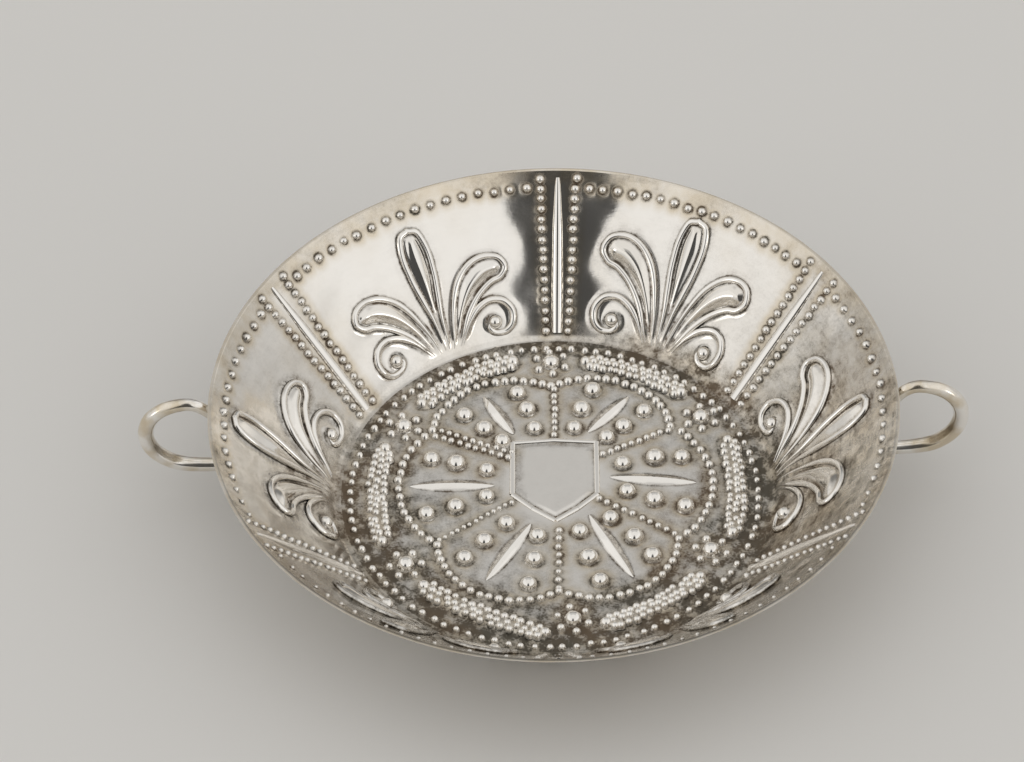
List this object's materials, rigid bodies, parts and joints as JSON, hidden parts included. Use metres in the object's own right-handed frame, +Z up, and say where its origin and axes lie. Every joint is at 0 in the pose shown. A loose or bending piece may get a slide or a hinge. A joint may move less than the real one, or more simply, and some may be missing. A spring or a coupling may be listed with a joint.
{
  "type": "saucer dish",
  "caption": "Round flared silver saucer dish with chased palmettes, ribs, beads and a blank shield, on a flat base with a wire loop handle on each side.",
  "frame": {"origin": "centre of the flat base, on the surface the dish stands on", "axes": "+X towards the right handle, +Y away from the point of the shield, +Z up out of the bowl"},
  "size_m": [0.2125, 0.175, 0.036],
  "materials": {
    "silver_sheet": "polished silver, tarnished grey-brown in the hollows of the relief",
    "silver_wire": "polished silver, smooth from wear",
    "silver_solder": "dull silver solder"
  },
  "bodies": {
    "root": {"dish_body": "silver_sheet", "handle_right": "silver_wire", "handle_left": "silver_wire", "handle_right_upper_solder": "silver_solder", "handle_right_lower_solder": "silver_solder", "handle_left_upper_solder": "silver_solder", "handle_left_lower_solder": "silver_solder"}
  },
  "joints": []
}
